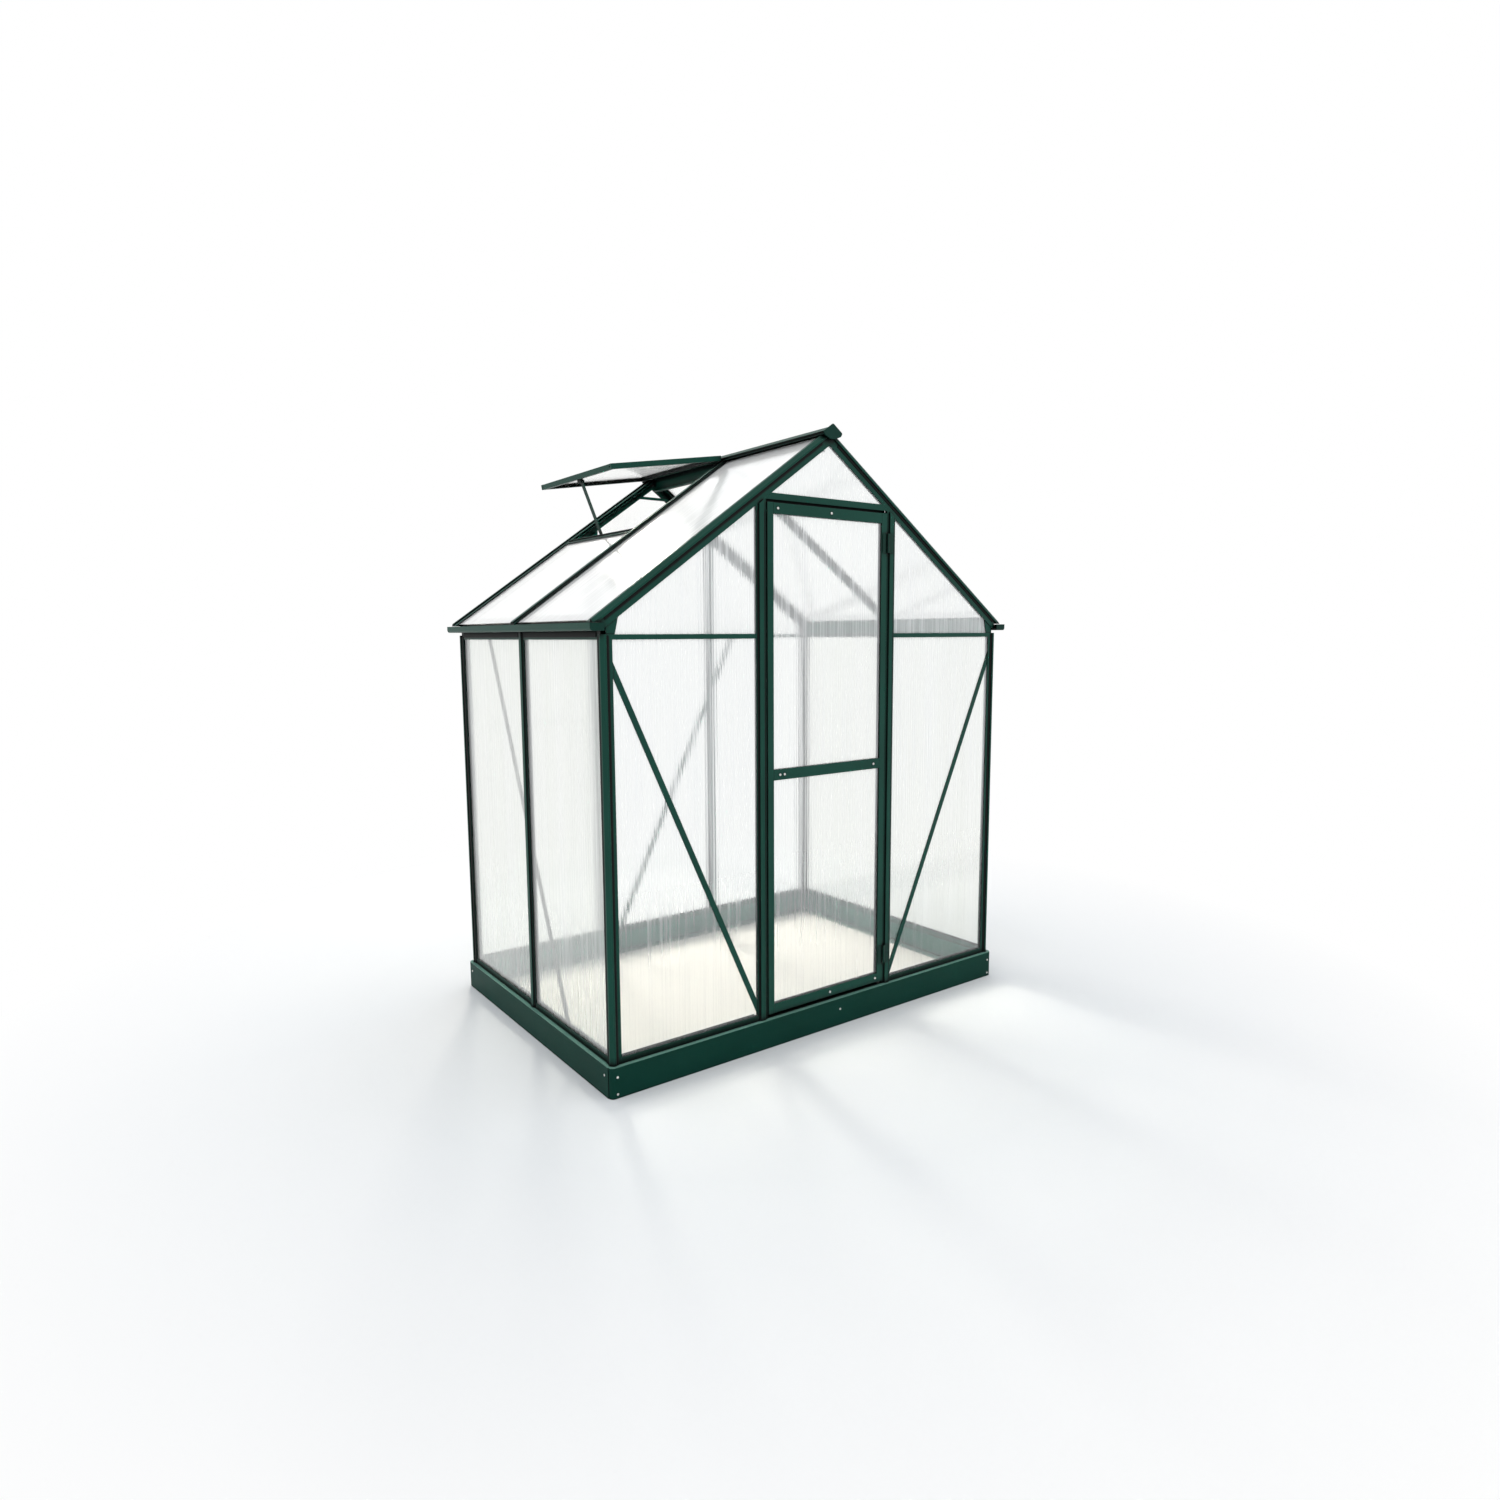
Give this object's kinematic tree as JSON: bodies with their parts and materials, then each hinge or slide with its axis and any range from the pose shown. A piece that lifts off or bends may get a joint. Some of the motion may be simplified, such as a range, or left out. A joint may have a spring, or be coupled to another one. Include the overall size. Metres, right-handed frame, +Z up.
{
  "type": "walk-in greenhouse",
  "caption": "Small walk-in greenhouse: steel base, dark green extruded frame glazed with twin-wall sheets, hinged front door, side gutters and a propped-open roof vent.",
  "frame": {"origin": "on the ground, at the middle of the steel base", "axes": "+Z up, -Y out of the front gable with the door, +X to the right seen from the front, so the ridge runs along Y"},
  "size_m": [1.91, 1.26, 2.1961],
  "materials": {
    "frame_green": "dark green powder coat, satin",
    "base_green": "dark green powder coat, satin",
    "cap_green": "moulded, matt",
    "sheet_clear": "twin-wall sheet, clear and slightly hazy",
    "fitting_green": "dark green painted steel",
    "magnet_black": "matt magnetic strip",
    "strike_steel": "plain steel"
  },
  "bodies": {
    "frame": {"base_front": "base_green", "base_left": "base_green", "base_rear": "base_green", "base_right": "base_green", "brace_left": "frame_green", "brace_rear": "frame_green", "braces_front": "frame_green", "door_header": "frame_green", "door_magnet": "magnet_black", "door_threshold": "frame_green", "eave_left": "frame_green", "eave_right": "frame_green", "gussets": "frame_green", "gutter_caps": "cap_green", "hinge_jamb_leaves": "fitting_green", "jamb_left": "frame_green", "jamb_right": "frame_green", "post_front_left": "frame_green", "post_front_right": "frame_green", "post_rear_left": "frame_green", "post_rear_right": "frame_green", "rafters_front": "frame_green", "rafters_rear": "frame_green", "rear_posts": "frame_green", "ridge_beam": "frame_green", "ridge_caps": "cap_green", "roof_bars": "frame_green", "roof_sheet_left_front": "sheet_clear", "roof_sheet_left_rear": "sheet_clear", "roof_sheets_right": "sheet_clear", "sheet_front_apex": "sheet_clear", "sheet_rear_apex": "sheet_clear", "sheets_front_high": "sheet_clear", "sheets_front_low": "sheet_clear", "sheets_left": "sheet_clear", "sheets_rear_high": "sheet_clear", "sheets_rear_low": "sheet_clear", "sheets_right": "sheet_clear", "sills_gable": "frame_green", "sills_side": "frame_green", "stay_catch": "fitting_green", "ties_front": "frame_green", "ties_rear": "frame_green", "vent_cill": "frame_green", "wall_studs": "frame_green"},
    "door": {"door_stile_left": "frame_green", "door_stile_right": "frame_green", "door_rail_top": "frame_green", "door_rail_middle": "frame_green", "door_rail_bottom": "frame_green", "door_sheets": "sheet_clear", "hinge_door_leaves": "fitting_green", "door_strike": "strike_steel"},
    "vent": {"vent_top_rail": "frame_green", "vent_bottom_rail": "frame_green", "vent_side_rails": "frame_green", "vent_sheet": "sheet_clear", "stay_bracket": "fitting_green"},
    "stay": {"stay_arm": "fitting_green"}
  },
  "joints": [
    {"name": "door_swing", "type": "hinge", "parent": "frame", "child": "door", "pos_m": [0.28183, -0.621, 1], "axis": [0, 0, 1], "range_deg": [0, 160]},
    {"name": "vent_swing", "type": "hinge", "parent": "frame", "child": "vent", "pos_m": [-0.0348, 0.30005, 2.16496], "axis": [0, 1, 0], "range_deg": [-26, 0]},
    {"name": "stay_swing", "type": "hinge", "parent": "vent", "child": "stay", "pos_m": [-0.50473, 0.30005, 2.07669], "axis": [0, 1, 0], "range_deg": [-73.26, 0]}
  ],
  "couplings": [
    {"joint": "stay_swing", "follows": "vent_swing", "ratio": 2.8137}
  ]
}
